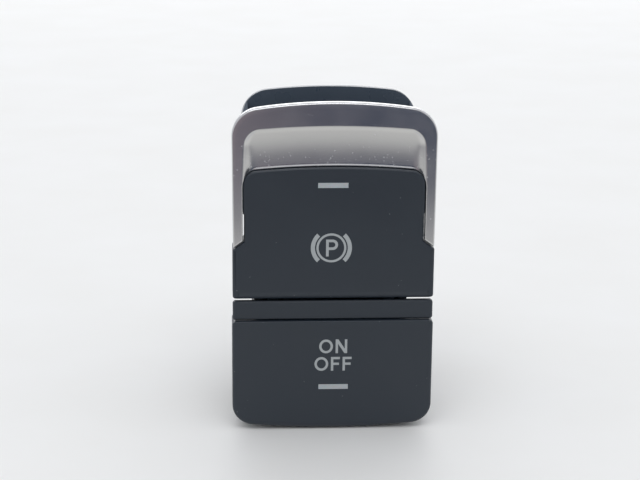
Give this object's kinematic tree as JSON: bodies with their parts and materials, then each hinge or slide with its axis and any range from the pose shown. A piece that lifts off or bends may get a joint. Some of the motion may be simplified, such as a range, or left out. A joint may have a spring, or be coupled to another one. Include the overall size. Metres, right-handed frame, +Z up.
{
  "type": "electric parking brake switch",
  "caption": "Car parking brake switch: black pull lever in a satin chrome frame over a black push button, narrow body, plug socket behind.",
  "frame": {"origin": "under the middle of the whole part, on the surface it stands on, as it stands on its end in the picture", "axes": "+Z up from the button end to the lever end, -Y out of the faces towards the user, +Y out of the plug socket, +X to the right as the faces are looked at"},
  "size_m": [0.0374, 0.0442, 0.0623],
  "materials": {
    "body_plastic": "fine matte",
    "face_plastic": "fine matte, soft grained",
    "satin_chrome": "satin",
    "inner_plastic": "plain moulded",
    "plunger_plastic": "natural acetal",
    "pin_steel": "ground",
    "window_plastic": "translucent pale",
    "clear_plastic": "clear polished",
    "board": "solder mask",
    "silicone": "soft",
    "lamp_resin": "gloss",
    "chip_resin": "moulded",
    "ceramic": "fired",
    "contact_metal": "tin plated"
  },
  "bodies": {
    "base": {"housing": "body_plastic", "finger_scoop": "body_plastic", "centre_bar": "face_plastic", "guide_plate": "inner_plastic", "rear_cover": "body_plastic", "circuit_board": "board", "dome_mat": "silicone", "lever_pin_left": "pin_steel", "lever_pin_right": "pin_steel", "park_light_guide": "clear_plastic", "lamp_park": "lamp_resin", "lamp_hold_text": "lamp_resin", "lamp_hold_bar": "lamp_resin", "controller_chip": "chip_resin", "capacitor_left": "ceramic", "capacitor_right": "ceramic", "resistor_1": "chip_resin", "resistor_2": "chip_resin", "resistor_3": "chip_resin", "resistor_4": "chip_resin", "contact_pin_1": "contact_metal", "contact_pin_2": "contact_metal", "contact_pin_3": "contact_metal", "contact_pin_4": "contact_metal", "contact_pin_5": "contact_metal", "contact_pin_6": "contact_metal", "contact_pin_7": "contact_metal", "contact_pin_8": "contact_metal", "contact_pin_9": "contact_metal", "contact_pin_10": "contact_metal", "apply_dome_left": "silicone", "apply_dome_right": "silicone", "release_dome_left": "silicone", "release_dome_right": "silicone", "hold_dome_left": "silicone", "hold_dome_right": "silicone"},
    "lever": {"lever_cap": "face_plastic", "lever_trim": "satin_chrome", "lever_carrier": "inner_plastic", "park_bar_window": "window_plastic", "lever_light_guide": "clear_plastic"},
    "lower_button": {"hold_cap": "face_plastic", "hold_slider": "inner_plastic", "hold_bar_window": "window_plastic", "hold_light_guide": "clear_plastic"},
    "apply_plunger_left": {"apply_plunger_left": "plunger_plastic"},
    "apply_plunger_right": {"apply_plunger_right": "plunger_plastic"},
    "release_plunger_left": {"release_plunger_left": "plunger_plastic"},
    "release_plunger_right": {"release_plunger_right": "plunger_plastic"}
  },
  "joints": [
    {"name": "lever_hinge", "type": "hinge", "parent": "base", "child": "lever", "pos_m": [0, -0.01868, 0.0335], "axis": [1, 0, 0], "range_deg": [-3.5, 6.5], "stiffness_Nm_per_rad": 0.9},
    {"name": "lower_button_press", "type": "slide", "parent": "base", "child": "lower_button", "axis": [0, 1, 0], "range_m": [0, 0.0012], "stiffness_N_per_m": 1000, "deforming": ["hold_dome_left", "hold_dome_right"]},
    {"name": "apply_plunger_left_slide", "type": "slide", "parent": "base", "child": "apply_plunger_left", "axis": [0, 1, 0], "range_m": [-0.0005, 0.0009], "deforming": ["apply_dome_left"]},
    {"name": "apply_plunger_right_slide", "type": "slide", "parent": "base", "child": "apply_plunger_right", "axis": [0, 1, 0], "range_m": [-0.0005, 0.0009], "deforming": ["apply_dome_right"]},
    {"name": "release_plunger_left_slide", "type": "slide", "parent": "base", "child": "release_plunger_left", "axis": [0, 1, 0], "range_m": [-0.0009, 0.0005], "deforming": ["release_dome_left"]},
    {"name": "release_plunger_right_slide", "type": "slide", "parent": "base", "child": "release_plunger_right", "axis": [0, 1, 0], "range_m": [-0.0009, 0.0005], "deforming": ["release_dome_right"]}
  ],
  "couplings": [
    {"joint": "apply_plunger_left_slide", "follows": "lever_hinge", "m_per_rad": 0.0075},
    {"joint": "apply_plunger_right_slide", "follows": "lever_hinge", "m_per_rad": 0.0075},
    {"joint": "release_plunger_left_slide", "follows": "lever_hinge", "m_per_rad": -0.0075},
    {"joint": "release_plunger_right_slide", "follows": "lever_hinge", "m_per_rad": -0.0075}
  ]
}
